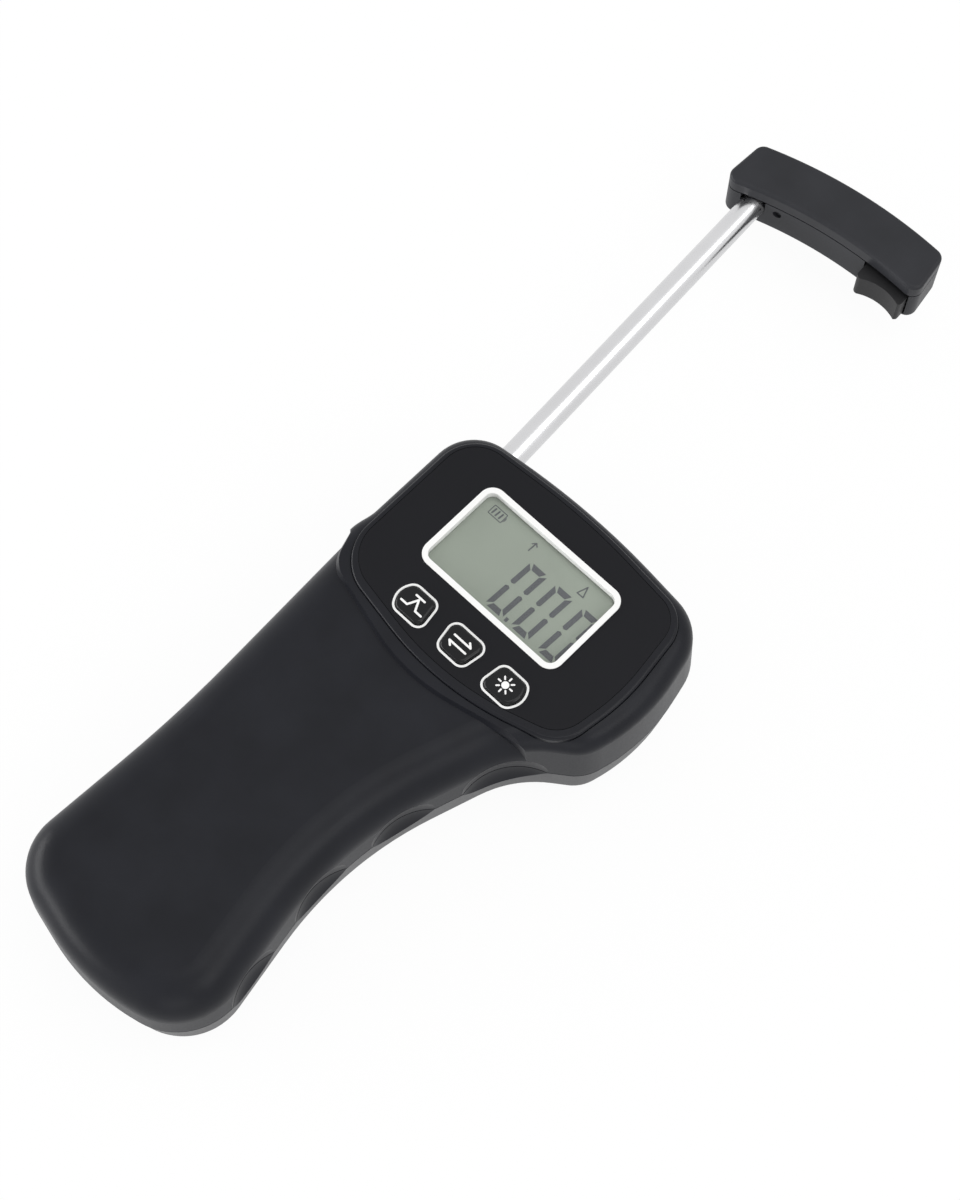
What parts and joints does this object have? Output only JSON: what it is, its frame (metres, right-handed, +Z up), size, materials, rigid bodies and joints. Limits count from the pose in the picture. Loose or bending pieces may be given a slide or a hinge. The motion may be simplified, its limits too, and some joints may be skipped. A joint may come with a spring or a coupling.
{
  "type": "hand force gauge",
  "caption": "Hand-grip digital force gauge: wide head with display and buttons, slim grip with finger scoops, pull rod and curved arm with a saddle pad.",
  "frame": {"origin": "on the flat back, straight below the middle of the display window", "axes": "+Z up out of the display, +Y along the grip towards the rod, +X to the finger side"},
  "size_m": [0.0793, 0.2523, 0.0349],
  "materials": {
    "housing_plastic": "fine grain, satin",
    "bezel_plastic": "satin",
    "overlay_film": "matt film",
    "white_plastic": "semi-gloss",
    "window_clear": "clear, polished",
    "display_glass": "grey-green, satin",
    "button_rubber": "satin",
    "board_laminate": "solder mask",
    "black_component": "matt",
    "diffuser_plastic": "milky",
    "conductive_rubber": "matt",
    "polished_steel": "ground and polished",
    "plain_steel": "plain",
    "cell_aluminium": "milled",
    "bush_bronze": "turned",
    "arm_plastic": "satin",
    "saddle_rubber": "satin",
    "contact_nickel": "nickel plated",
    "battery_wrap": "plain wrap"
  },
  "bodies": {
    "grip": {"front_shell": "housing_plastic", "back_shell": "housing_plastic", "display_bezel": "bezel_plastic", "face_overlay": "overlay_film", "window_frame": "white_plastic", "display_window": "window_clear", "lcd_panel": "display_glass", "lcd_backlight": "diffuser_plastic", "lcd_connectors": "conductive_rubber", "main_board": "board_laminate", "board_chips": "black_component", "board_screws": "plain_steel", "tact_switches": "black_component", "casing_screws": "plain_steel", "rod_bush": "bush_bronze", "load_cell": "cell_aluminium", "cell_bracket": "plain_steel", "anchor_bolt": "plain_steel", "bracket_screws": "plain_steel", "battery_cells": "battery_wrap", "battery_plates": "contact_nickel", "battery_springs": "contact_nickel"},
    "peak_key": {"peak_button": "button_rubber", "peak_plunger": "black_component"},
    "unit_key": {"unit_button": "button_rubber", "unit_plunger": "black_component"},
    "light_key": {"light_button": "button_rubber", "light_plunger": "black_component"},
    "puller": {"pull_rod": "polished_steel", "rod_pin": "plain_steel", "rod_nut": "plain_steel", "arm_body": "arm_plastic", "arm_cover": "arm_plastic", "arm_screws": "plain_steel", "saddle_pad": "saddle_rubber"},
    "door": {"battery_door": "housing_plastic"}
  },
  "joints": [
    {"name": "peak_press", "type": "slide", "parent": "grip", "child": "peak_key", "axis": [0, 0, -1], "range_m": [0, 0.0005], "stiffness_N_per_m": 3000},
    {"name": "unit_press", "type": "slide", "parent": "grip", "child": "unit_key", "axis": [0, 0, -1], "range_m": [0, 0.0005], "stiffness_N_per_m": 3000},
    {"name": "light_press", "type": "slide", "parent": "grip", "child": "light_key", "axis": [0, 0, -1], "range_m": [0, 0.0005], "stiffness_N_per_m": 3000},
    {"name": "rod_pull", "type": "slide", "parent": "grip", "child": "puller", "axis": [-0.0597, 0.9982, 0], "range_m": [-0.00025, 0.00025], "stiffness_N_per_m": 200000},
    {"name": "battery_door_slide", "type": "slide", "parent": "grip", "child": "door", "axis": [0, -1, 0], "range_m": [0, 0.05]}
  ]
}
